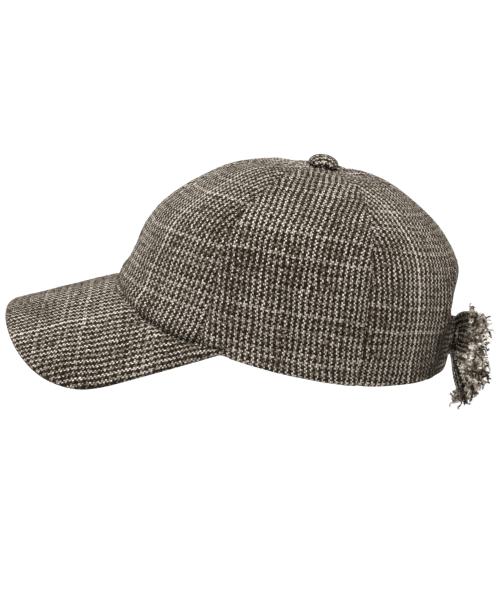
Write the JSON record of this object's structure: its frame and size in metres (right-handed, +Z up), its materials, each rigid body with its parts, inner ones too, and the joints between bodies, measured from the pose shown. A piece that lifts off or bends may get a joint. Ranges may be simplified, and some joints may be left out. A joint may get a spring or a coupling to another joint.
{
  "type": "tweed cap",
  "caption": "Soft tweed cap with a panelled crown, covered button, curved peak, and an arched gap at the back closed by knotted straps with frayed tails.",
  "frame": {"origin": "centre of the opening for the head, in the plane of the hem, where the cap sits on a head", "axes": "+Z up as worn, the peak towards -Y, the tied gap towards +Y, +X the wearer's left"},
  "size_m": [0.158, 0.2829, 0.1508],
  "materials": {
    "tweed": "coarse small check of cream and near-black wool",
    "peak_tweed": "coarse small check of cream and near-black wool, drawn over a stiff peak",
    "frayed_yarn": "loose fluffy yarn ends, cream and brown"
  },
  "bodies": {
    "root": {"panel_front_left": "tweed", "panel_front_right": "tweed", "panel_side_left": "tweed", "panel_side_right": "tweed", "panel_back_left": "tweed", "panel_back_right": "tweed", "button": "tweed", "peak_top": "peak_tweed", "peak_under": "peak_tweed", "strap_left": "tweed", "strap_right": "tweed", "knot": "tweed", "tail_left": "tweed", "tail_right": "tweed", "fringe_left": "frayed_yarn", "fringe_right": "frayed_yarn"}
  },
  "joints": []
}
